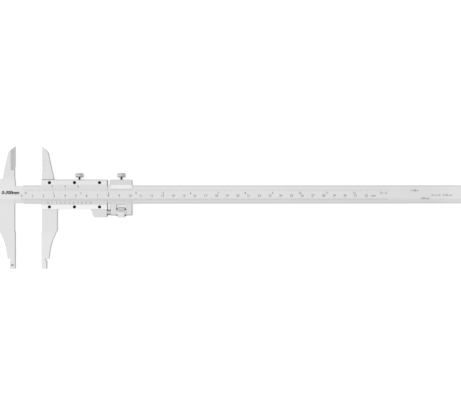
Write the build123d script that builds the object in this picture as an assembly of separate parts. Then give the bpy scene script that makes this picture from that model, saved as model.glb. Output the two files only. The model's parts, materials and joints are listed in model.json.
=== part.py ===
"""A 300 mm vernier caliper with knife jaws, nib jaws and a fine-adjustment carrier.

The caliper lies on its back. It is drawn with X along the beam from the fixed
measuring face, Y across the beam from its centre line towards the knife jaws, and Z
from the rest plane up out of the graduated face, all in millimetres. The last step
moves every piece so that the origin is the bottom centre of the whole caliper's box.
"""

import os

from build123d import *

# ---------------------------------------------------------------- driving dimensions
OPENING = 24.5  # gap between the measuring faces as drawn

BEAM_END = 416.5  # free end of the beam
BEAM_WIDTH = 17.0
BEAM_BACK = 2.0  # back face of the beam and of all four jaws
BEAM_FRONT = 6.0  # graduated face, and front of the jaws
RAIL_FRONT = 5.6  # lowered rails that the vernier plates slide over
BAND_TOP = 4.4  # edges of the graduated band between the rails
BAND_BOTTOM = -5.3
BEAM_EDGE_BREAK = 0.5
NECK_RELIEF = 0.5  # relief of the beam's edges beside the fixed jaw
NECK_LENGTH = 8.0

JAW_WIDTH = 14.5
HEAD_TOP = 14.2  # shoulder of the fixed jaw
KNIFE_TIP = 44.9
KNIFE_SHOULDER = (6.1, 39.1)  # corner where the slanted tip meets the back
KNIFE_ROOT = 11.4
KNIFE_STEP = 22.5  # lower end of the knife bevel
KNIFE_BEVEL = 3.9
KNIFE_EDGE = 0.7  # thickness left at the knife edge
KNEE = -33.2  # where the lower jaw starts to narrow
JAW_FOOT = -59.4  # end of the lower jaw's full section
NIB_START = -61.4
NIB_END = -68.7
NIB_WIDTH = 5.0
NIB_RADIUS = 4.4
FACE_RELIEF = 0.5  # relief of the knife jaws' roots and of the lower jaws' upper halves
EDGE_BREAK = 0.25  # on the jaws, slider, lug and carrier
ROOT_FILLET = 1.0  # between the fixed jaws and the beam's neck

SLIDER_LENGTH = 60.65
SLIDER_TOP = 13.75
SLIDER_BOTTOM = -13.7
PLATE_FRONT = 7.85  # front of the vernier plates, lug and carrier
GIB_THICKNESS = 1.0
RUNNING = 0.05  # gap on each sliding face

PLATE_SETBACK = 0.35  # of the plates' left ends from the moving measuring face
PLATE_BEVEL_TOP = 9.1  # where each vernier plate's bevel starts
PLATE_BEVEL_BOTTOM = -9.5
PLATE_SCREW_X = (7.7, 30.7, 53.8)
PLATE_SCREW_TOP = 11.0
PLATE_SCREW_BOTTOM = -11.45
PLATE_SCREW_DIAMETER = 1.5
PLATE_SCREW_HEAD = 2.8
PLATE_SCREW_DEPTH = 1.0  # of the counterbore
PLATE_SCREW_END = 3.2

CARRIER_GAP = 3.1  # between slider and carrier
CARRIER_LENGTH = 19.85
CARRIER_TOP = 13.7
CARRIER_BOTTOM = -19.4
CARRIER_BEVEL_TOP = (8.85, 5.55)  # start and end of the bevels beside the window
CARRIER_BEVEL_BOTTOM = (-9.3, -5.9)
CARRIER_BEVEL_FOOT = 6.4
CARRIER_LOWER_RIM = 0.8  # chamfer of the lower front edge
NUT_SLOT_START = 5.5
NUT_SLOT_WIDTH = 9.0
NUT_SLOT_TOP = -9.7

ADJUST_Y = -16.4  # axis of the fine-adjustment screw
ADJUST_Z = 4.95
ADJUST_DIAMETER = 5.2
ADJUST_START = 51.2  # ends of the screw, from the moving measuring face
ADJUST_END = 82.0
ADJUST_PLAY = 0.12  # of the nut and carrier on the screw, on diameter
ADJUST_PIN_X = 55.5
ADJUST_PIN_DIAMETER = 1.5
NUT_DIAMETER = 9.8
NUT_RIM = 6.8
NUT_CHAMFER = 0.5
NUT_HUB_DIAMETER = 7.2

LUG_START = 45.9
LUG_SLANT = 2.5
LUG_BOTTOM = -21.1

CLAMP_X = 34.8  # slider clamp screw, from the moving measuring face
CLAMP_Z = 4.1
CLAMP_DIAMETER = 2.0
CLAMP_HEAD = 16.05  # underside of the knurled head
CLAMP_HEAD_DIAMETER = 7.8
CLAMP_HEAD_HEIGHT = 3.9
SHOE_GAP = 0.25  # from shoe to gib with the clamp loosened half a turn
SHOE_HEIGHT = 0.8
GIB_SCREW_X = (14.0, 48.0)

STOP_X = 394.0  # end-stop screws on the back of the beam
STOP_Y = (4.2, -4.2)
STOP_THREAD = 2.5
STOP_THREAD_END = 4.4

# ---------------------------------------------------------------- worked-out places
HALF_BEAM = BEAM_WIDTH / 2
CHANNEL_BOTTOM = -HALF_BEAM - RUNNING
GIB_BOTTOM = HALF_BEAM + RUNNING
GIB_TOP = GIB_BOTTOM + GIB_THICKNESS
CHANNEL_TOP = GIB_TOP + RUNNING
CHANNEL_BACK = BEAM_BACK - RUNNING
COVER_BACK = RAIL_FRONT + RUNNING
PLATE_TOP_EDGE = BAND_TOP + 0.1
PLATE_BOTTOM_EDGE = BAND_BOTTOM - 0.1
CARRIER_X = OPENING + SLIDER_LENGTH + CARRIER_GAP
SCREW_BORE = CLAMP_DIAMETER + 0.1
ORIGIN = Vector((BEAM_END - JAW_WIDTH) / 2, (KNIFE_TIP + NIB_END) / 2, 0)


# ---------------------------------------------------------------- shape helpers
def block(x, y, z):
    """Box from (low, high) pairs."""
    size = [high - low for low, high in (x, y, z)]
    middle = [(high + low) / 2 for low, high in (x, y, z)]
    return Pos(*middle) * Box(*size)


def slab(face, z):
    """Flat outline raised from z[0] to z[1]."""
    return extrude(Pos(0, 0, z[0]) * face, amount=z[1] - z[0], dir=(0, 0, 1))


def outline(*points):
    return make_face(Polyline(*points, close=True))


def rounded(face, radius, *corners):
    """Round the outline's corners that lie at the given points."""
    picked = [face.vertices().sort_by_distance(corner)[0] for corner in corners]
    return fillet(picked, radius)


def rod(start, end, diameter):
    """Cylinder between two points."""
    axis = Vector(*end) - Vector(*start)
    seat = Plane(origin=start, z_dir=axis)
    return extrude(seat * Circle(diameter / 2), amount=axis.length)


def turned(points, origin, z_dir):
    """Solid of revolution from (radius, height) points about a line through origin."""
    profile = make_face(Plane.XZ * Polyline(*points, close=True))
    seat = Plane(origin=origin, z_dir=z_dir)
    return seat * revolve(profile, Axis.Z)


def save(node, shape):
    """Write one sub-part in the finished frame."""
    export_step(Pos(*(-ORIGIN)) * shape, f"parts/{node}.step")


# ---------------------------------------------------------------- jaws
# Both pairs are drawn with +X away from the measuring face; the fixed pair is mirrored.
def knife_outline():
    blade = outline(
        (0, KNIFE_TIP),
        KNIFE_SHOULDER,
        (KNIFE_ROOT, HEAD_TOP),
        (KNIFE_ROOT, 0),
        (FACE_RELIEF, 0),
        (FACE_RELIEF, KNIFE_STEP + 2.9),
        (0, KNIFE_STEP + 3.9),
    )
    return rounded(blade, 1.5, KNIFE_SHOULDER)


def knife_bevel():
    depth = BEAM_FRONT - BEAM_BACK - KNIFE_EDGE
    slope = depth / KNIFE_BEVEL
    wedge = outline((-1, -depth - slope), (-1, 1), (KNIFE_BEVEL, 1), (KNIFE_BEVEL, 0), (0, -depth))
    upright = Plane(origin=(0, KNIFE_STEP, BEAM_FRONT), x_dir=(1, 0, 0), z_dir=(0, -1, 0))
    return extrude(upright * wedge, amount=-(KNIFE_TIP - KNIFE_STEP + 1))


def nib_jaw_outline():
    foot_corner = (7.2, JAW_FOOT + 2.7)
    neck = 3.5
    relief_end = KNEE - 1.4
    back = ThreePointArc((JAW_WIDTH, KNEE), (9.55, -44.4), foot_corner)
    rest = Polyline(
        foot_corner,
        (6.6, JAW_FOOT),
        (neck, JAW_FOOT),
        (neck, NIB_START),
        (0, NIB_START),
        (0, relief_end),
        (FACE_RELIEF, relief_end + 0.6),
        (FACE_RELIEF, 0),
        (JAW_WIDTH, 0),
        (JAW_WIDTH, KNEE),
    )
    return make_face([back, rest])


def nib():
    stock = block((0, NIB_WIDTH), (NIB_END, NIB_START + 0.2), (BEAM_BACK, BEAM_FRONT))
    centre = (NIB_WIDTH - NIB_RADIUS, NIB_END, (BEAM_BACK + BEAM_FRONT) / 2)
    top = (centre[0], NIB_START + 0.2, centre[2])
    return stock & rod(centre, top, 2 * NIB_RADIUS)


def jaw_pair(body):
    """Knife jaw and nib jaw on a body outline that holds their roots."""
    whole = knife_outline() + nib_jaw_outline() + body
    plate = slab(whole, (BEAM_BACK, BEAM_FRONT))
    levels = plate.edges().group_by(Axis.Z)
    outer = [edge for edge in levels[0] + levels[-1] if edge.center().X > 2.5]
    plate = chamfer(outer, EDGE_BREAK)
    return plate - knife_bevel() + nib()


# ---------------------------------------------------------------- beam with fixed jaws
def beam():
    head = outline((0, HEAD_TOP), (JAW_WIDTH, HEAD_TOP), (JAW_WIDTH, 0), (0, 0))
    head = rounded(head, 1.0, (JAW_WIDTH, HEAD_TOP))
    jaws = mirror(jaw_pair(head), about=Plane.YZ)

    depth = (BEAM_BACK, BEAM_FRONT)
    bar = block((NECK_LENGTH, BEAM_END), (-HALF_BEAM, HALF_BEAM), depth)
    corners = bar.edges().filter_by(Axis.Z).group_by(Axis.X)[-1]
    bar = fillet(corners, 1.0)
    bar = chamfer(bar.edges().filter_by(Axis.X), BEAM_EDGE_BREAK)
    half_neck = HALF_BEAM - NECK_RELIEF
    neck = block((-1, NECK_LENGTH), (-half_neck, half_neck), depth)

    shape = jaws + neck + bar
    middle = (BEAM_BACK + BEAM_FRONT) / 2
    for y in (half_neck, -half_neck):
        root = shape.edges().filter_by(Axis.Z).sort_by_distance((-FACE_RELIEF, y, middle))[0]
        shape = fillet(root, ROOT_FILLET)
    for low, high in ((BAND_TOP, HALF_BEAM + 1), (-HALF_BEAM - 1, BAND_BOTTOM)):
        shape -= block((0, BEAM_END + 1), (low, high), (RAIL_FRONT, BEAM_FRONT + 1))
    for y in STOP_Y:
        shape -= rod((STOP_X, y, BEAM_BACK - 1), (STOP_X, y, STOP_THREAD_END + 0.2), STOP_THREAD + 0.1)
    return shape


def end_stop_screw(y):
    """Cheese-head screw with its slotted head on the rest plane, stopping the slider's channel."""
    thread = STOP_THREAD / 2
    head = 2.5
    edge = 0.3
    profile = [
        (0, 0),
        (head - edge, 0),
        (head, edge),
        (head, BEAM_BACK),
        (thread, BEAM_BACK),
        (thread, STOP_THREAD_END),
        (0, STOP_THREAD_END),
    ]
    screw = turned(profile, (STOP_X, y, 0), (0, 0, 1))
    return screw - block((STOP_X - 0.35, STOP_X + 0.35), (y - 3, y + 3), (-1, 0.8))


# ---------------------------------------------------------------- slider
def adjusting_lug():
    """Lug below the slider that holds the fine-adjustment screw."""
    shoulder = (LUG_START + 0.4, SLIDER_BOTTOM - 0.9)
    foot = (LUG_START + LUG_SLANT, LUG_BOTTOM)
    lug = outline(
        (LUG_START - 1.2, SLIDER_BOTTOM),
        shoulder,
        foot,
        (SLIDER_LENGTH, LUG_BOTTOM),
        (SLIDER_LENGTH, SLIDER_BOTTOM),
    )
    lug = rounded(lug, 1.8, foot, (SLIDER_LENGTH, LUG_BOTTOM))
    lug = slab(rounded(lug, 1.5, shoulder), (0, PLATE_FRONT))
    front = [edge for edge in lug.edges().group_by(Axis.Z)[-1] if edge.center().Y < SLIDER_BOTTOM]
    return chamfer(front, EDGE_BREAK)


def adjusting_bore(start, end, gap):
    return rod((start, ADJUST_Y, ADJUST_Z), (end, ADJUST_Y, ADJUST_Z), ADJUST_DIAMETER + gap)


def pin_rod(bottom, top, gap):
    """Cross pin through the lug and the screw, or with a gap the bore that it sits in."""
    diameter = ADJUST_PIN_DIAMETER + gap
    return rod((ADJUST_PIN_X, ADJUST_Y, bottom), (ADJUST_PIN_X, ADJUST_Y, top), diameter)


def slider_frame():
    body = outline(
        (0, SLIDER_TOP), (SLIDER_LENGTH, SLIDER_TOP), (SLIDER_LENGTH, SLIDER_BOTTOM), (0, SLIDER_BOTTOM)
    )
    jaws = jaw_pair(body)
    root = jaws.edges().filter_by(Axis.Z).sort_by_distance((JAW_WIDTH, SLIDER_BOTTOM, 4))[0]
    jaws = fillet(root, 1.5)

    reach = (-1, SLIDER_LENGTH + 1)
    across = (SLIDER_BOTTOM, SLIDER_TOP)
    shape = jaws - block(reach, across, (COVER_BACK, BEAM_FRONT + 1))
    back = block((0, SLIDER_LENGTH), across, (0, BEAM_BACK + 0.5))
    shape += chamfer(back.edges().group_by(Axis.Z)[0], EDGE_BREAK)
    shape -= block(reach, (CHANNEL_BOTTOM, CHANNEL_TOP), (CHANNEL_BACK, BEAM_FRONT + 1))
    shape += adjusting_lug()

    shape -= adjusting_bore(ADJUST_START - 0.2, SLIDER_LENGTH + 1, 0.04)
    shape -= pin_rod(-1, 7.0, 0.04)
    for x in PLATE_SCREW_X:
        for y in (PLATE_SCREW_TOP, PLATE_SCREW_BOTTOM):
            shape -= rod((x, y, PLATE_SCREW_END - 0.4), (x, y, COVER_BACK + 1), PLATE_SCREW_DIAMETER + 0.1)
    for x in (CLAMP_X, *GIB_SCREW_X):
        shape -= rod((x, CHANNEL_TOP - 1, CLAMP_Z), (x, SLIDER_TOP + 1, CLAMP_Z), SCREW_BORE)
    return shape


def vernier_plate(outer, bevel, edge, screw_y, edge_break):
    """Plate over one wall of the slider, bevelled down to the graduated band."""
    clear = PLATE_FRONT + 1
    profile = outline(
        (outer, COVER_BACK),
        (outer, PLATE_FRONT),
        (bevel, PLATE_FRONT),
        (edge, BEAM_FRONT + RUNNING),
        (edge, COVER_BACK),
    )
    upright = Plane(origin=(PLATE_SETBACK, 0, 0), x_dir=(0, 1, 0), z_dir=(1, 0, 0))
    plate = extrude(upright * profile, amount=SLIDER_LENGTH - PLATE_SETBACK)
    front = plate.faces().sort_by(Axis.Z)[-1]
    outer_edge = front.edges().sort_by_distance((SLIDER_LENGTH / 2, outer, PLATE_FRONT))[0]
    plate = chamfer(outer_edge, edge_break)
    seat = PLATE_FRONT - PLATE_SCREW_DEPTH
    for x in PLATE_SCREW_X:
        plate -= rod((x, screw_y, COVER_BACK - 1), (x, screw_y, clear), PLATE_SCREW_DIAMETER + 0.2)
        plate -= rod((x, screw_y, seat), (x, screw_y, clear), PLATE_SCREW_HEAD + 0.2)
    return plate


def plate_screw(x, y):
    """Slotted cheese-head screw, its head sunk just below the plate's front."""
    thread = PLATE_SCREW_DIAMETER / 2
    rim = PLATE_SCREW_HEAD / 2
    seat = PLATE_FRONT - PLATE_SCREW_DEPTH
    top = PLATE_FRONT - 0.1
    edge = 0.15
    profile = [
        (0, PLATE_SCREW_END),
        (thread, PLATE_SCREW_END),
        (thread, seat),
        (rim, seat),
        (rim, top - edge),
        (rim - edge, top),
        (0, top),
    ]
    screw = turned(profile, (x, y, 0), (0, 0, 1))
    return screw - block((x - 2, x + 2), (y - 0.2, y + 0.2), (top - 0.4, top + 1))


def gib(length):
    return block((0, length), (GIB_BOTTOM, GIB_TOP), (2.2, 5.4))


def gib_set_screw(x):
    screw = rod((x, GIB_TOP, CLAMP_Z), (x, SLIDER_TOP - 0.6, CLAMP_Z), CLAMP_DIAMETER)
    slot = block((x - 2, x + 2), (SLIDER_TOP - 1.3, SLIDER_TOP), (CLAMP_Z - 0.2, CLAMP_Z + 0.2))
    return screw - slot


# ---------------------------------------------------------------- clamps
def clamp_shoe(x):
    start = GIB_TOP + SHOE_GAP
    return rod((x, start, CLAMP_Z), (x, start + SHOE_HEIGHT, CLAMP_Z), CLAMP_DIAMETER - 0.06)


def clamp_screw(x):
    """Knurled screw with a low domed head, turned about Y."""
    tip = GIB_TOP + SHOE_GAP + SHOE_HEIGHT
    shank = CLAMP_DIAMETER / 2
    rim = CLAMP_HEAD_DIAMETER / 2
    top = CLAMP_HEAD + CLAMP_HEAD_HEIGHT
    dome_rim = rim - 0.5
    dome_rise = 0.6
    ball = (dome_rim**2 + dome_rise**2) / (2 * dome_rise)
    half_way = (dome_rim / 2, top - ball + (ball**2 - dome_rim**2 / 4) ** 0.5)
    side = Polyline(
        (0, tip),
        (shank, tip),
        (shank, CLAMP_HEAD),
        (rim - 0.5, CLAMP_HEAD),
        (rim, CLAMP_HEAD + 0.4),
        (rim, top - dome_rise - 0.5),
        (dome_rim, top - dome_rise),
    )
    dome = ThreePointArc((dome_rim, top - dome_rise), half_way, (0, top))
    profile = make_face([side, dome, Line((0, top), (0, tip))])
    return Pos(x, 0, CLAMP_Z) * revolve(profile, Axis.Y)


# ---------------------------------------------------------------- fine adjustment
def carrier_cut(*points):
    """Prism of a (y, z) outline that runs past both ends of the carrier."""
    upright = Plane(origin=(-1, 0, 0), x_dir=(0, 1, 0), z_dir=(1, 0, 0))
    return extrude(upright * outline(*points), amount=CARRIER_LENGTH + 2)


def window_bevel(start, end):
    """Wedge taken off one side of the carrier's window, between two distances from the centre line."""
    clear = PLATE_FRONT + 1
    foot = CARRIER_BEVEL_FOOT
    return carrier_cut((start, PLATE_FRONT), (start, clear), (0, clear), (0, foot), (end, foot))


def lower_rim_bevel():
    start = CARRIER_BOTTOM + CARRIER_LOWER_RIM
    clear = 1
    return carrier_cut(
        (start, PLATE_FRONT),
        (start, PLATE_FRONT + clear),
        (CARRIER_BOTTOM - clear, PLATE_FRONT + clear),
        (CARRIER_BOTTOM - clear, PLATE_FRONT - CARRIER_LOWER_RIM - clear),
    )


def carrier_block():
    corners = [(x, y) for x in (0, CARRIER_LENGTH) for y in (CARRIER_TOP, CARRIER_BOTTOM)]
    body = outline(corners[0], corners[2], corners[3], corners[1])
    body = rounded(body, 0.4, *corners)
    below = CARRIER_BOTTOM - 5
    slot_end = NUT_SLOT_START + NUT_SLOT_WIDTH
    slot_corners = ((NUT_SLOT_START, NUT_SLOT_TOP), (slot_end, NUT_SLOT_TOP))
    slot = outline(*slot_corners, (slot_end, below), (NUT_SLOT_START, below))
    shape = slab(body - rounded(slot, 1.0, *slot_corners), (0, PLATE_FRONT))
    levels = shape.edges().group_by(Axis.Z)
    shape = chamfer(levels[0] + levels[-1], EDGE_BREAK)

    reach = (-1, CARRIER_LENGTH + 1)
    shape -= block(reach, (CHANNEL_BOTTOM, CHANNEL_TOP), (CHANNEL_BACK, COVER_BACK))
    shape -= block(reach, (PLATE_BOTTOM_EDGE, PLATE_TOP_EDGE), (CHANNEL_BACK, PLATE_FRONT + 1))
    shape -= lower_rim_bevel()
    shape -= window_bevel(*CARRIER_BEVEL_TOP)
    shape -= window_bevel(*CARRIER_BEVEL_BOTTOM)
    shape -= adjusting_bore(-1, CARRIER_LENGTH + 1, ADJUST_PLAY)
    middle = CARRIER_LENGTH / 2
    shape -= rod((middle, CHANNEL_TOP - 1, CLAMP_Z), (middle, CARRIER_TOP + 1, CLAMP_Z), SCREW_BORE)
    return shape


def adjusting_screw():
    """Threaded rod held in the slider's lug, to its thread's outside diameter."""
    screw = adjusting_bore(ADJUST_START, ADJUST_END, 0)
    screw = chamfer(screw.edges().filter_by(GeomType.CIRCLE), 0.4)
    return screw - pin_rod(-1, 7.0, 0.04)


def adjusting_nut():
    """Nut with a chamfered rim between two hubs that run against the slot's walls."""
    bore = (ADJUST_DIAMETER + ADJUST_PLAY) / 2
    half = NUT_SLOT_WIDTH / 2 - 0.03
    rim = NUT_RIM / 2
    hub = NUT_HUB_DIAMETER / 2
    outside = NUT_DIAMETER / 2
    profile = [
        (bore, -half),
        (hub, -half),
        (hub, -rim),
        (outside - NUT_CHAMFER, -rim),
        (outside, NUT_CHAMFER - rim),
        (outside, rim - NUT_CHAMFER),
        (outside - NUT_CHAMFER, rim),
        (hub, rim),
        (hub, half),
        (bore, half),
    ]
    middle = NUT_SLOT_START + NUT_SLOT_WIDTH / 2
    return turned(profile, (middle, ADJUST_Y, ADJUST_Z), (1, 0, 0))


# ---------------------------------------------------------------- assembly
def main():
    os.makedirs("parts", exist_ok=True)

    save("beam_with_fixed_jaws", beam())
    for number, y in enumerate(STOP_Y, 1):
        save(f"end_stop_screw_{number}", end_stop_screw(y))

    on_slider = {
        "slider_frame": slider_frame(),
        "inch_vernier_plate": vernier_plate(
            SLIDER_TOP, PLATE_BEVEL_TOP, PLATE_TOP_EDGE, PLATE_SCREW_TOP, 2 * EDGE_BREAK
        ),
        "metric_vernier_plate": vernier_plate(
            SLIDER_BOTTOM, PLATE_BEVEL_BOTTOM, PLATE_BOTTOM_EDGE, PLATE_SCREW_BOTTOM, EDGE_BREAK
        ),
        "slider_gib": Pos(1.5, 0, 0) * gib(SLIDER_LENGTH - 3),
        "slider_clamp_shoe": clamp_shoe(CLAMP_X),
        "slider_clamp_screw": clamp_screw(CLAMP_X),
        "adjusting_screw": adjusting_screw(),
        "adjusting_screw_pin": pin_rod(0.15, 6.9, 0),
    }
    for number, x in enumerate(GIB_SCREW_X, 1):
        on_slider[f"gib_set_screw_{number}"] = gib_set_screw(x)
    for number, x in enumerate(PLATE_SCREW_X, 1):
        on_slider[f"inch_plate_screw_{number}"] = plate_screw(x, PLATE_SCREW_TOP)
        on_slider[f"metric_plate_screw_{number}"] = plate_screw(x, PLATE_SCREW_BOTTOM)
    for node, shape in on_slider.items():
        save(node, Pos(OPENING, 0, 0) * shape)

    on_carrier = {
        "carrier_block": carrier_block(),
        "carrier_gib": Pos(0.6, 0, 0) * gib(CARRIER_LENGTH - 1.2),
        "carrier_clamp_shoe": clamp_shoe(CARRIER_LENGTH / 2),
        "carrier_clamp_screw": clamp_screw(CARRIER_LENGTH / 2),
        "adjusting_nut": adjusting_nut(),
    }
    for node, shape in on_carrier.items():
        save(node, Pos(CARRIER_X, 0, 0) * shape)


main()
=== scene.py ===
"""Looks for the 300 mm vernier caliper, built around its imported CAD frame, in metres."""

import json
import math

import bmesh
import bpy
from mathutils import Matrix, Vector


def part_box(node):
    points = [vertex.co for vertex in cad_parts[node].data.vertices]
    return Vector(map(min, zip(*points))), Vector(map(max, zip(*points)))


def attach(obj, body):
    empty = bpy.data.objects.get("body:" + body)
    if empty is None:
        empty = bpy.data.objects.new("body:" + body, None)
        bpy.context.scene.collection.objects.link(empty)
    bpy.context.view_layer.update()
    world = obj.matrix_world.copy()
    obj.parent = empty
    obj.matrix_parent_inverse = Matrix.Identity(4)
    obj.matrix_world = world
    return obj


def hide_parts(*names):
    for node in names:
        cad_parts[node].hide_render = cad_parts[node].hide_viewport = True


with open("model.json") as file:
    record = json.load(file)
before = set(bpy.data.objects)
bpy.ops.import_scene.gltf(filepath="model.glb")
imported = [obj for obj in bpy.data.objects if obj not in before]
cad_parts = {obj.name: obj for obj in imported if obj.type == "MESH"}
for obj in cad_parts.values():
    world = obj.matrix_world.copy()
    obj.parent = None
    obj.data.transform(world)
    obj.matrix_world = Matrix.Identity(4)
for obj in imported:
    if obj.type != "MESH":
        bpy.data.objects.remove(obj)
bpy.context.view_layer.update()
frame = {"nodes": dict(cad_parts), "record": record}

MM = 0.001
INCH = 25.4 * MM

# ---------------------------------------------------------------- places read from the frame
FACES = {mount["name"]: Vector(mount["pos_m"]) for mount in frame["record"]["mounts"]}
FIXED_FACE = FACES["fixed_measuring_face"].x
MOVING_FACE = FACES["moving_measuring_face"].x
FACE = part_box("beam_with_fixed_jaws")[1].z
CENTRE = (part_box("end_stop_screw_1")[0].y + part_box("end_stop_screw_2")[1].y) / 2
UPPER_PLATE_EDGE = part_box("inch_vernier_plate")[0].y
LOWER_PLATE_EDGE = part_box("metric_vernier_plate")[1].y
PLATE_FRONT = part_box("inch_vernier_plate")[1].z
SLIDER_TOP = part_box("inch_vernier_plate")[1].y
SLIDER_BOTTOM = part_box("metric_vernier_plate")[0].y
SLIDER_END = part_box("inch_vernier_plate")[1].x

# ---------------------------------------------------------------- graduations
METRIC_ZERO = 6.26 * MM  # from a measuring face to the zero line, on beam and slider alike
INCH_ZERO = 10.06 * MM
BAND_TOP = 4.4 * MM  # edges of the beam's graduated band, from its centre line
BAND_BOTTOM = -5.3 * MM
BEVEL_TOP_END = 9.1 * MM  # where the plates' bevels end, from the centre line
BEVEL_BOTTOM_END = 9.5 * MM
LINE_WIDTH = 0.1 * MM
MARK_RISE = 0.02 * MM
MARK_ROOT = 0.02 * MM
MM_LINES = 341
CM_NUMERALS = 33
INCH_DIVISIONS = 16
INCH_LINES = 213
INCH_NUMERALS = 14
METRIC_VERNIER_LINES = 21
METRIC_VERNIER_PITCH = 39 * MM / 20
INCH_VERNIER_LINES = 9
INCH_VERNIER_PITCH = 15 * INCH / 128

# ---------------------------------------------------------------- turned pieces
CLAMP_HEAD_HEIGHT = 3.9 * MM
CLAMP_PITCH = 0.45 * MM
ADJUSTING_PITCH = 0.5 * MM
KNURL_DEPTH = 0.22 * MM


# ---------------------------------------------------------------- camera, floor and light
def add_camera():
    """Straight down on the graduated face, turned a degree so that the jaws are a little nearer."""
    distance = 0.8
    turn = math.radians(-1.3)
    roll = math.radians(-0.05)
    view_width = 0.4287
    view_right = 199.46 * MM  # from the fixed face to the middle of the view
    view_down = 12.1 * MM
    sensor = 0.036
    data = bpy.data.cameras.new("camera")
    data.sensor_width = sensor / MM
    data.lens = sensor * distance / view_width / MM
    data.clip_start = 0.01
    data.clip_end = 50
    camera = bpy.data.objects.new("camera", data)
    aim = Vector((FIXED_FACE + view_right, CENTRE - view_down, FACE))
    camera.location = aim + distance * Vector((math.sin(turn), 0, math.cos(turn)))
    camera.rotation_euler = (0, turn, roll)
    bpy.context.scene.collection.objects.link(camera)
    bpy.context.scene.camera = camera


def add_math(tree, operation, first, second):
    node = tree.nodes.new("ShaderNodeMath")
    node.operation = operation
    for socket, value in zip(node.inputs, (first, second)):
        if isinstance(value, bpy.types.NodeSocket):
            tree.links.new(value, socket)
        else:
            socket.default_value = value
    return node.outputs["Value"]


def add_studio():
    """A light tent, brightest overhead and darker to the right, over a table that glows."""
    overhead = 1.0
    horizon = 0.8
    underneath = 0.5
    lean_right = -0.2
    lean_back = -0.06
    world = bpy.data.worlds.new("studio")
    world.use_nodes = True
    tree = world.node_tree
    place = tree.nodes.new("ShaderNodeTexCoord")
    axes = tree.nodes.new("ShaderNodeSeparateXYZ")
    tree.links.new(place.outputs["Generated"], axes.inputs["Vector"])
    total = add_range(tree, axes.outputs["Z"], underneath, horizon, -0.6, 0.2)
    top = add_range(tree, axes.outputs["Z"], 0, overhead - horizon, 0.4, 0.9)
    total = add_math(tree, "ADD", total, top)
    for axis, lean in (("X", lean_right), ("Y", lean_back)):
        total = add_math(tree, "ADD", total, add_math(tree, "MULTIPLY", axes.outputs[axis], lean))
    background = tree.nodes["Background"]
    background.inputs["Color"].default_value = grey(1.0)
    tree.links.new(total, background.inputs["Strength"])
    bpy.context.scene.world = world
    bpy.context.scene.view_settings.view_transform = "Standard"

    mesh = bpy.data.meshes.new("floor")
    side = 12.0
    corners = [(x, y, 0) for x, y in ((-side, -side), (side, -side), (side, side), (-side, side))]
    mesh.from_pydata(corners, [], [(0, 1, 2, 3)])
    floor = bpy.data.objects.new("floor", mesh)
    bpy.context.scene.collection.objects.link(floor)
    floor.visible_glossy = False
    paint = new_material("lit_table")
    paint["bsdf"].inputs["Base Color"].default_value = grey(0.4)
    paint["bsdf"].inputs["Roughness"].default_value = 0.9
    paint["bsdf"].inputs["Emission Color"].default_value = grey(1.0)
    paint["bsdf"].inputs["Emission Strength"].default_value = 0.75
    mesh.materials.append(paint["material"])


# ---------------------------------------------------------------- materials
def new_material(name):
    material = bpy.data.materials.new(name)
    material.use_nodes = True
    tree = material.node_tree
    return {"material": material, "tree": tree, "bsdf": tree.nodes["Principled BSDF"]}


def grey(value):
    return (value, value, value, 1)


def add_noise(tree, stretch, scale, detail=3.0):
    """Noise in the object's own metres; stretch draws it out along an axis where it is small."""
    place = tree.nodes.new("ShaderNodeTexCoord")
    mapping = tree.nodes.new("ShaderNodeMapping")
    mapping.inputs["Scale"].default_value = stretch
    noise = tree.nodes.new("ShaderNodeTexNoise")
    noise.inputs["Scale"].default_value = scale
    noise.inputs["Detail"].default_value = detail
    tree.links.new(place.outputs["Object"], mapping.inputs["Vector"])
    tree.links.new(mapping.outputs["Vector"], noise.inputs["Vector"])
    return noise.outputs["Fac"]


def add_range(tree, value, low, high, from_low=0.3, from_high=0.7):
    scale = tree.nodes.new("ShaderNodeMapRange")
    scale.inputs["From Min"].default_value = from_low
    scale.inputs["From Max"].default_value = from_high
    scale.inputs["To Min"].default_value = low
    scale.inputs["To Max"].default_value = high
    tree.links.new(value, scale.inputs["Value"])
    return scale.outputs["Result"]


def add_bump(tree, height, distance, strength=1.0, below=None):
    bump = tree.nodes.new("ShaderNodeBump")
    bump.inputs["Strength"].default_value = strength
    bump.inputs["Distance"].default_value = distance
    tree.links.new(height, bump.inputs["Height"])
    if below is not None:
        tree.links.new(below, bump.inputs["Normal"])
    return bump.outputs["Normal"]


def add_ramp(tree, source, axis, low, high):
    """Ramp from 0 at low to 1 at high, along one axis of the object's own coordinates or normal."""
    place = tree.nodes.new("ShaderNodeTexCoord")
    axes = tree.nodes.new("ShaderNodeSeparateXYZ")
    tree.links.new(place.outputs[source], axes.inputs["Vector"])
    return add_range(tree, axes.outputs[axis], 0, 1, low, high)


def facing(axis, low, high):
    """Ramp for the faces whose normal leans along an axis."""
    return ("Normal", axis, low, high)


def beyond(axis, start, blend=0.2 * MM):
    """Ramp for what lies past a place; a negative blend takes what lies before it."""
    return ("Object", axis, start, start + blend)


def strip(axis, low, high, blend=0.2 * MM):
    """Two ramps for what lies between two places."""
    return (beyond(axis, low, blend), beyond(axis, high, -blend))


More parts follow.
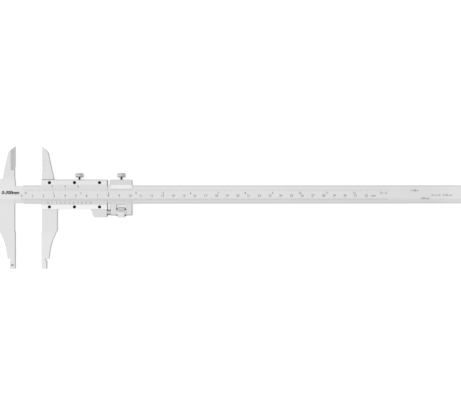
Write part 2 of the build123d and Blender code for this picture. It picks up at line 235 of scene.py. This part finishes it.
def ground_metal(name, tone, roughness, grind, patches=(), spread=0.02, pit=0.002 * MM):
    """Ground steel: fine scratches along one axis over a satin grain, with faint cloudiness.

    Each patch is (factor, ramps): where all of its ramps are full, the tone is multiplied
    by the factor. The factors are fitted to this scene's camera and light, so some of them
    stand for the light on a face and not for the face itself.
    """
    made = new_material(name)
    tree, bsdf = made["tree"], made["bsdf"]
    scratches = add_noise(tree, grind, 9000, detail=2.0)
    grain = add_noise(tree, (1, 1, 1), 4000, detail=1.0)
    cloud = add_noise(tree, (1, 1, 1), 35, detail=4.0)

    value = add_range(tree, cloud, tone - spread, tone + spread)
    value = add_math(tree, "ADD", value, add_range(tree, scratches, -spread, spread))
    for factor, *ramps in patches:
        mask = 1.0
        for ramp in ramps:
            mask = add_math(tree, "MULTIPLY", mask, add_ramp(tree, *ramp))
        value = add_math(tree, "MULTIPLY", value, add_range(tree, mask, 1, factor, 0, 1))
    tree.links.new(value, bsdf.inputs["Base Color"])

    rough = add_range(tree, scratches, roughness - 0.05, roughness + 0.05)
    rough = add_math(tree, "ADD", rough, add_range(tree, cloud, -0.03, 0.03))
    tree.links.new(rough, bsdf.inputs["Roughness"])

    bsdf.inputs["Metallic"].default_value = 1.0
    fine = add_bump(tree, grain, pit, 0.6)
    tree.links.new(add_bump(tree, scratches, pit, 0.8, fine), bsdf.inputs["Normal"])
    return made["material"]


def mix_colours(tree, factor, first, second):
    colour = tree.nodes.new("ShaderNodeMix")
    colour.data_type = "RGBA"
    colour.inputs["A"].default_value = first
    colour.inputs["B"].default_value = second
    tree.links.new(add_range(tree, factor, 0, 1), colour.inputs["Factor"])
    return colour.outputs["Result"]


def black_oxide():
    made = new_material("black_oxide_steel")
    tree, bsdf = made["tree"], made["bsdf"]
    speckle = add_noise(tree, (1, 1, 1), 3000)
    colour = mix_colours(tree, speckle, grey(0.004), grey(0.02))
    tree.links.new(colour, bsdf.inputs["Base Color"])
    tree.links.new(add_range(tree, speckle, 0.4, 0.6), bsdf.inputs["Roughness"])
    bsdf.inputs["Specular IOR Level"].default_value = 0.1
    return made["material"]


def mark_ink():
    made = new_material("etched_black")
    tree, bsdf = made["tree"], made["bsdf"]
    wear = add_noise(tree, (1, 1, 1), 1500)
    colour = mix_colours(tree, wear, grey(0.02), grey(0.08))
    tree.links.new(colour, bsdf.inputs["Base Color"])
    bsdf.inputs["Roughness"].default_value = 0.7
    return made["material"]


def brass():
    made = new_material("plain_brass")
    tree, bsdf = made["tree"], made["bsdf"]
    cloud = add_noise(tree, (1, 1, 1), 300)
    colour = mix_colours(tree, cloud, (0.62, 0.45, 0.2, 1), (0.8, 0.62, 0.3, 1))
    tree.links.new(colour, bsdf.inputs["Base Color"])
    tree.links.new(add_range(tree, cloud, 0.3, 0.45), bsdf.inputs["Roughness"])
    bsdf.inputs["Metallic"].default_value = 1.0
    return made["material"]


def beam_steel():
    """Painted shade on the rims and lower edge along the bar, painted light on the right-hand sides
    and free end, and painted light and shade on the jaws and along the bar.
    """
    on_bar = beyond("X", FIXED_FACE + 7 * MM)
    on_jaw = beyond("X", FIXED_FACE, -0.5 * MM)
    rim = 7.1 * MM
    # Factors above 1 are painted light and factors below 1 painted shade, including the gradual
    # shade along the bar towards the fixed jaw.
    patches = [
        (1.02, on_jaw),
        (1.04, on_jaw, beyond("Y", CENTRE - 6 * MM, -6 * MM)),
        (0.94, on_jaw, beyond("Y", CENTRE + 12 * MM, 6 * MM)),
        (1.11, facing("X", 0.45, 0.55)),
        (1.18, facing("X", 0.8, 0.95)),
        (0.93, beyond("Y", CENTRE - 3.4 * MM, -1.2 * MM)),
        (0.91, on_bar, beyond("Y", CENTRE + rim)),
        (0.91, on_bar, beyond("Y", CENTRE - rim, -0.2 * MM)),
        (0.97, on_bar, beyond("X", FIXED_FACE + 230 * MM, -150 * MM)),
        (1.07, beyond("X", FIXED_FACE + 385 * MM, 27 * MM)),
    ]
    return ground_metal("satin_chrome_beam", 0.762, 0.34, (0.02, 1, 1), patches, spread=0.012)


def slider_steel():
    """Painted light on the side faces, left-hand slopes and lower jaw, and painted shade at the
    joints with the plates, on the right-hand end and on what stands above 7 mm.
    """
    side = facing("X", 0.8, 0.95)
    on_jaw = beyond("X", MOVING_FACE + 16 * MM, -0.2 * MM)
    # Factors above 1 are painted light and factors below 1 painted shade; the right-hand end's
    # painted shade is that of the narrow gap before the carrier.
    patches = [
        (1.47, side),
        (0.25, side, beyond("X", SLIDER_END - 1 * MM)),
        (1.16, facing("X", -0.45, -0.55)),
        (0.95, beyond("Z", 7.0 * MM)),
        (1.045, beyond("Y", CENTRE - 32 * MM, -8 * MM)),
        (0.7, *strip("Y", SLIDER_TOP - 0.2 * MM, SLIDER_TOP + 0.7 * MM)),
        (0.88, on_jaw, *strip("Y", SLIDER_BOTTOM - 0.5 * MM, SLIDER_BOTTOM + 0.1 * MM)),
    ]
    return ground_metal("satin_chrome_slider", 0.748, 0.34, (1, 0.02, 1), patches, spread=0.012)


def plate_steel(name, tone, bevel, rim, up):
    """Vernier plate: painted shade on its right-hand end, with factors that paint light and shade
    on its bevel and rim.

    up is 1 where the rim is towards +Y and -1 where it is towards -Y.
    """
    # The factors paint light and shade into the tone.
    patches = [
        (0.35, facing("X", 0.8, 0.95)),
        (bevel, facing("Y", -0.2 * up, -0.3 * up)),
        (rim, facing("Y", 0.4 * up, 0.5 * up)),
    ]
    return ground_metal(name, tone, 0.32, (0.02, 1, 1), patches, spread=0.012)


def carrier_steel():
    """Painted light on the right-hand end, the slopes and the lower part, and painted shade on the
    faces towards the nib jaws.
    """
    patches = [
        (1.8, facing("X", 0.8, 0.95)),
        (1.3, facing("Y", -0.2, -0.3), facing("Y", -0.6, -0.5)),
        (0.6, facing("Y", -0.6, -0.65)),
        (1.08, facing("Y", 0.2, 0.3), facing("Y", 0.6, 0.5)),
        (1.04, beyond("Y", CENTRE - 9 * MM, -0.2 * MM)),
    ]
    return ground_metal("satin_chrome_carrier", 0.685, 0.34, (0.02, 1, 1), patches, spread=0.012)


def paint_frame():
    """Give every carried-over CAD node its finish."""
    # The satin chrome parts share one finish; the differences between their tones are painted light
    # and shade.
    finishes = {
        "beam_with_fixed_jaws": beam_steel(),
        "slider_frame": slider_steel(),
        "inch_vernier_plate": plate_steel("satin_chrome_upper_plate", 0.788, 0.93, 0.7, 1),
        "metric_vernier_plate": plate_steel("satin_chrome_lower_plate", 0.87, 0.89, 1.1, -1),
        "carrier_block": carrier_steel(),
    }
    turned = ground_metal("turned_steel", 0.6, 0.3, (1, 1, 1))
    finishes["adjusting_screw_pin"] = turned
    finishes["end_stop_screw_1"] = finishes["end_stop_screw_2"] = turned
    dark = black_oxide()
    soft = brass()
    for node in frame["nodes"]:
        if "plate_screw" in node or "set_screw" in node:
            finishes[node] = dark
        elif "gib" in node or "shoe" in node:
            finishes[node] = soft
    for node, material in finishes.items():
        mesh = frame["nodes"][node].data
        mesh.materials.clear()
        mesh.materials.append(material)


# ---------------------------------------------------------------- graduated marks
def plane_at(origin, up):
    """Matrix of a flat area whose own Y is up and whose X stays along the beam."""
    up = up.normalized()
    out = Vector((1, 0, 0)).cross(up)
    matrix = Matrix((Vector((1, 0, 0)), up, out)).transposed().to_4x4()
    matrix.translation = origin
    return matrix


def add_line(marks, x, start, end, width=LINE_WIDTH):
    """One engraved line of the area's own plane, as a thin closed bar."""
    size = Vector((width, abs(end - start), MARK_RISE + MARK_ROOT))
    middle = Vector((x, (start + end) / 2, (MARK_RISE - MARK_ROOT) / 2))
    matrix = Matrix.Translation(middle) @ Matrix.Diagonal((*size, 1))
    bmesh.ops.create_cube(marks, size=1.0, matrix=matrix)


def add_words(marks, words, x, y, height, bold=0.0, slant=0.0):
    """Lettering centred at a point of the area's own plane."""
    capital = 0.69  # height of a figure in the built-in font, for a size of 1
    curve = bpy.data.curves.new("words", "FONT")
    curve.body = words
    curve.size = height / capital
    curve.align_x = "CENTER"
    curve.extrude = (MARK_RISE + MARK_ROOT) / 2
    curve.offset = bold
    curve.shear = slant
    curve.resolution_u = 4
    holder = bpy.data.objects.new("words", curve)
    bpy.context.scene.collection.objects.link(holder)
    bpy.context.view_layer.update()
    evaluated = holder.evaluated_get(bpy.context.evaluated_depsgraph_get())
    mesh = bpy.data.meshes.new_from_object(evaluated)
    mesh.transform(Matrix.Translation((x, y - height / 2, (MARK_RISE - MARK_ROOT) / 2)))
    marks.from_mesh(mesh)
    bpy.data.objects.remove(holder)
    bpy.data.curves.remove(curve)
    bpy.data.meshes.remove(mesh)


def finish_marks(marks, name, matrix, body, ink):
    """Turn an area's marks into one piece that rides on a body."""
    bmesh.ops.remove_doubles(marks, verts=marks.verts, dist=1e-7)
    bmesh.ops.transform(marks, matrix=matrix, verts=marks.verts)
    mesh = bpy.data.meshes.new(name)
    marks.to_mesh(mesh)
    marks.free()
    mesh.materials.append(ink)
    piece = bpy.data.objects.new(name, mesh)
    bpy.context.scene.collection.objects.link(piece)
    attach(piece, body)
    return piece


def beam_scales(ink):
    """Millimetres along the band's lower edge, sixteenths of an inch along its upper edge."""
    plane = plane_at(Vector((FIXED_FACE, CENTRE, FACE)), Vector((0, 1, 0)))
    metric = bmesh.new()
    for count in range(MM_LINES):
        length = 2.4 if count % 10 == 0 else 2.0 if count % 5 == 0 else 1.5
        add_line(metric, METRIC_ZERO + count * MM, BAND_BOTTOM, BAND_BOTTOM + length * MM)
    row = -1.0 * MM
    for count in range(CM_NUMERALS):
        add_words(metric, str(count), METRIC_ZERO + 10 * count * MM, row, 2.1 * MM)
    add_words(metric, "mm", METRIC_ZERO + 326.6 * MM, row, 2.1 * MM)
    finish_marks(metric, "beam_metric_scale", plane, "beam", ink)

    inches = bmesh.new()
    lengths = {0: 2.1, 8: 1.8, 4: 1.5, 12: 1.5}
    for count in range(INCH_LINES):
        length = lengths.get(count % INCH_DIVISIONS, 1.2 if count % 2 == 0 else 0.95)
        place = INCH_ZERO + count * INCH / INCH_DIVISIONS
        add_line(inches, place, BAND_TOP - length * MM, BAND_TOP)
    row = 1.35 * MM
    for count in range(INCH_NUMERALS):
        add_words(inches, str(count), INCH_ZERO + count * INCH, row, 2.0 * MM)
    add_words(inches, "in", INCH_ZERO + 13 * INCH + 4.5 * MM, row, 2.0 * MM)
    finish_marks(inches, "beam_inch_scale", plane, "beam", ink)


def slider_scales(ink):
    """Vernier scales on the plates' bevels: 0.05 mm on the lower one, 1/128 in on the upper."""
    edge_rise = 0.05 * MM
    slope = PLATE_FRONT - FACE - edge_rise
    lower_up = Vector((0, BEVEL_BOTTOM_END + (LOWER_PLATE_EDGE - CENTRE), -slope))
    lower_origin = Vector((MOVING_FACE, LOWER_PLATE_EDGE, FACE + edge_rise))
    metric = bmesh.new()
    for count in range(METRIC_VERNIER_LINES):
        length = 1.3 if count % 2 == 0 else 0.95
        place = METRIC_ZERO + count * METRIC_VERNIER_PITCH
        add_line(metric, place, -length * MM, 0)
        if count % 2 == 0:
            add_words(metric, str(count // 2), place, -2.4 * MM, 1.6 * MM)
    lower_plane = plane_at(lower_origin, lower_up)
    finish_marks(metric, "slider_metric_vernier", lower_plane, "slider", ink)

    upper_up = Vector((0, BEVEL_TOP_END - (UPPER_PLATE_EDGE - CENTRE), slope))
    upper_origin = Vector((MOVING_FACE, UPPER_PLATE_EDGE, FACE + edge_rise))
    inches = bmesh.new()
    for count in range(INCH_VERNIER_LINES):
        length = 1.7 if count % 4 == 0 else 1.2
        place = INCH_ZERO + count * INCH_VERNIER_PITCH
        add_line(inches, place, 0, length * MM)
        if count % 4 == 0:
            add_words(inches, str(count), place, 3.3 * MM, 1.8 * MM)
    upper_plane = plane_at(upper_origin, upper_up)
    finish_marks(inches, "slider_inch_vernier", upper_plane, "slider", ink)


def plain_labels(ink):
    """Range on the fixed jaw, nib width, and resolutions and ranges near the beam's free end."""
    plane = plane_at(Vector((FIXED_FACE, CENTRE, FACE)), Vector((0, 1, 0)))
    labels = bmesh.new()
    add_words(labels, "0-300mm", -4.2 * MM, 1.9 * MM, 2.9 * MM, bold=0.2 * MM, slant=0.25)
    add_words(labels, "10", -2.5 * MM, -65.2 * MM, 1.6 * MM, bold=0.1 * MM)
    add_words(labels, "1/128 in", 371.4 * MM, 3.7 * MM, 1.5 * MM, bold=0.03 * MM)
    add_words(labels, "0.05 mm", 381.5 * MM, -3.6 * MM, 1.5 * MM, bold=0.03 * MM)
    add_words(labels, "0-12 inch   0-300 mm", 397.3 * MM, -0.6 * MM, 1.55 * MM)
    finish_marks(labels, "beam_labels", plane, "beam", ink)


# ---------------------------------------------------------------- turned and knurled pieces
def turned_mesh(name, rings, around, origin, axis, hollow=False):
    """Closed surface of revolution. Each ring is (height, radius of turn angle)."""
    mesh = bmesh.new()
    seat = Vector(axis).to_track_quat("Z", "Y").to_matrix().to_4x4()
    seat.translation = origin
    loops = []
    for height, radius in rings:
        loop = []
        for step in range(around):
            angle = 2 * math.pi * step / around
            size = radius(angle) if callable(radius) else radius
            point = Vector((size * math.cos(angle), size * math.sin(angle), height))
            loop.append(mesh.verts.new(seat @ point))
        loops.append(loop)
    pairs = list(zip(loops, loops[1:]))
    if hollow:
        pairs.append((loops[-1], loops[0]))
    else:
        mesh.faces.new(reversed(loops[0]))
        mesh.faces.new(loops[-1])
    for low, high in pairs:
        for step in range(around):
            after = (step + 1) % around
            mesh.faces.new((low[step], low[after], high[after], high[step]))
    bmesh.ops.recalc_face_normals(mesh, faces=mesh.faces)
    data = bpy.data.meshes.new(name)
    mesh.to_mesh(data)
    mesh.free()
    piece = bpy.data.objects.new(name, data)
    bpy.context.scene.collection.objects.link(piece)
    return piece


def knurl(radius, teeth):
    """Radius of a straight-knurled rim: flat-topped teeth with V grooves."""
    def at(angle):
        phase = (angle * teeth / (2 * math.pi)) % 1.0
        groove = max(0.0, 1 - abs(phase - 0.5) * 4)
        return radius - KNURL_DEPTH * groove
    return at


def thread_rings(start, end, radius, depth, pitch, per_turn=6):
    """Rings of a helical V thread between two heights, with its depth fading out at both ends."""
    count = math.ceil((end - start) / pitch * per_turn)
    rings = []
    for step in range(count + 1):
        height = start + (end - start) * step / count
        fade = min(1.0, step / per_turn, (count - step) / per_turn)

        def at(angle, height=height, fade=fade):
            phase = (height / pitch - angle / (2 * math.pi)) % 1.0
            return radius - depth * fade * 2 * abs(phase - 0.5)

        rings.append((height, at))
    return rings


def shade(piece, material, angle=40):
    """Give a piece its material, with edges sharper than the angle left sharp."""
    piece.data.materials.append(material)
    piece.data.polygons.foreach_set("use_smooth", [True] * len(piece.data.polygons))
    piece.data.set_sharp_from_angle(angle=math.radians(angle))


def clamp_screw(node, steel, dark):
    """Thumb screw: dark threaded shank under a straight-knurled head with a low dome."""
    low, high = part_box(node)
    radius = (high.x - low.x) / 2
    middle = Vector(((low.x + high.x) / 2, low.y, (low.z + high.z) / 2))
    length = high.y - low.y
    head = length - CLAMP_HEAD_HEIGHT
    shank = 1.0 * MM
    around = 192
    teeth = 48
    rim = knurl(radius, teeth)
    dome = radius - 0.45 * MM
    rings = [(0, shank - 0.25 * MM)]
    rings += thread_rings(0.25 * MM, head - 0.3 * MM, shank, 0.2 * MM, CLAMP_PITCH)
    rings += [
        (head, shank - 0.1 * MM),
        (head, radius - 0.7 * MM),
        (head + 0.35 * MM, radius - 0.25 * MM),
        (head + 0.55 * MM, rim),
        (length - 0.6 * MM, rim),
        (length - 0.35 * MM, dome),
    ]
    dome_steps = 6
    for step in range(1, dome_steps):
        turn = step / dome_steps * math.pi / 2
        rings.append((length - 0.35 * MM * (1 - math.sin(turn)), dome * math.cos(turn)))
    piece = turned_mesh(node + "_knurled", rings, around, middle, (0, 1, 0))
    shade(piece, steel)
    piece.data.materials.append(dark)
    for face in piece.data.polygons:
        if face.center.y < middle.y + head - 0.1 * MM:
            face.material_index = 1
    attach(piece, node)
    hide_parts(node)


def adjusting_nut():
    """Knurled nut with a chamfered rim between two hubs.

    The painted shade on its rim and hubs lies on its +Y and -Y sides at rest. It is fixed to the
    nut and turns with it, so its tone at other poses differs from that at rest.
    """
    node = "adjusting_nut"
    low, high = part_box(node)
    radius = (high.z - low.z) / 2
    half = (high.x - low.x) / 2
    middle = (low + high) / 2
    rim = 3.4 * MM
    hub = 3.6 * MM
    bore = 2.66 * MM
    around = 240
    teeth = 60
    ridge = knurl(radius, teeth)
    side = [(half, bore + 0.3 * MM), (half, hub - 0.2 * MM), (half - 0.2 * MM, hub), (rim, hub)]
    side += [(rim, radius - 0.5 * MM), (rim - 0.25 * MM, radius - 0.24 * MM)]
    side += [(rim - 0.5 * MM, ridge)]
    rings = [(-half + 0.3 * MM, bore)] + [(-height, size) for height, size in side]
    rings += [(height, size) for height, size in reversed(side)] + [(half - 0.3 * MM, bore)]
    piece = turned_mesh(node + "_knurled", rings, around, middle, (1, 0, 0), hollow=True)

    flat = rim - 0.1 * MM
    # Painted shade on the rim's +Y side and, outside the rim's flat, on the hubs' +Y and -Y sides.
    shades = [(0.25, facing("Y", 0.7, 0.9))]
    for outside in (beyond("X", middle.x + flat), beyond("X", middle.x - flat, -0.2 * MM)):
        shades.append((0.06, facing("Y", 0.5, 0.65), outside))
        shades.append((0.1, facing("Y", -0.5, -0.65), outside))
    shade(piece, ground_metal("nut_steel", 0.86, 0.3, (0.05, 1, 1), shades))
    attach(piece, node)
    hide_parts(node)


def adjusting_screw(steel):
    """Fine screw, threaded from just inside the slider's lug to its free end."""
    node = "adjusting_screw"
    low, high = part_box(node)
    radius = (high.z - low.z) / 2
    length = high.x - low.x
    start = Vector((low.x, (low.y + high.y) / 2, (low.z + high.z) / 2))
    plain = 7.5 * MM
    chamfer = 0.4 * MM
    rings = [(0, radius - chamfer), (chamfer, radius)]
    rings += thread_rings(plain, length - chamfer, radius, 0.32 * MM, ADJUSTING_PITCH)
    rings.append((length, radius - 2 * chamfer))
    piece = turned_mesh(node + "_threaded", rings, 64, start, (1, 0, 0))
    shade(piece, steel)
    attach(piece, "slider")
    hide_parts(node)


# ---------------------------------------------------------------- the whole scene
add_camera()
add_studio()
paint_frame()

ink = mark_ink()
beam_scales(ink)
slider_scales(ink)
plain_labels(ink)

# Painted shade on the undersides of the knurled heads.
shade_under_head = [(0.5, facing("Y", -0.2, -0.5))]
clamp_steel = ground_metal("clamp_steel", 0.72, 0.3, (1, 0.05, 1), shade_under_head)
# The threaded shanks under the heads get a dark tone of 0.14.
shank_steel = ground_metal("dark_shank", 0.14, 0.4, (1, 1, 1), spread=0.01)
clamp_screw("slider_clamp_screw", clamp_steel, shank_steel)
clamp_screw("carrier_clamp_screw", clamp_steel, shank_steel)
adjusting_nut()
# Painted shade on the thread's flanks that face up and down.
flank_shades = [(0.04, facing("Y", 0.45, 0.65)), (0.04, facing("Y", -0.45, -0.65))]
adjusting_screw(ground_metal("threaded_steel", 0.8, 0.3, (1, 1, 1), flank_shades))
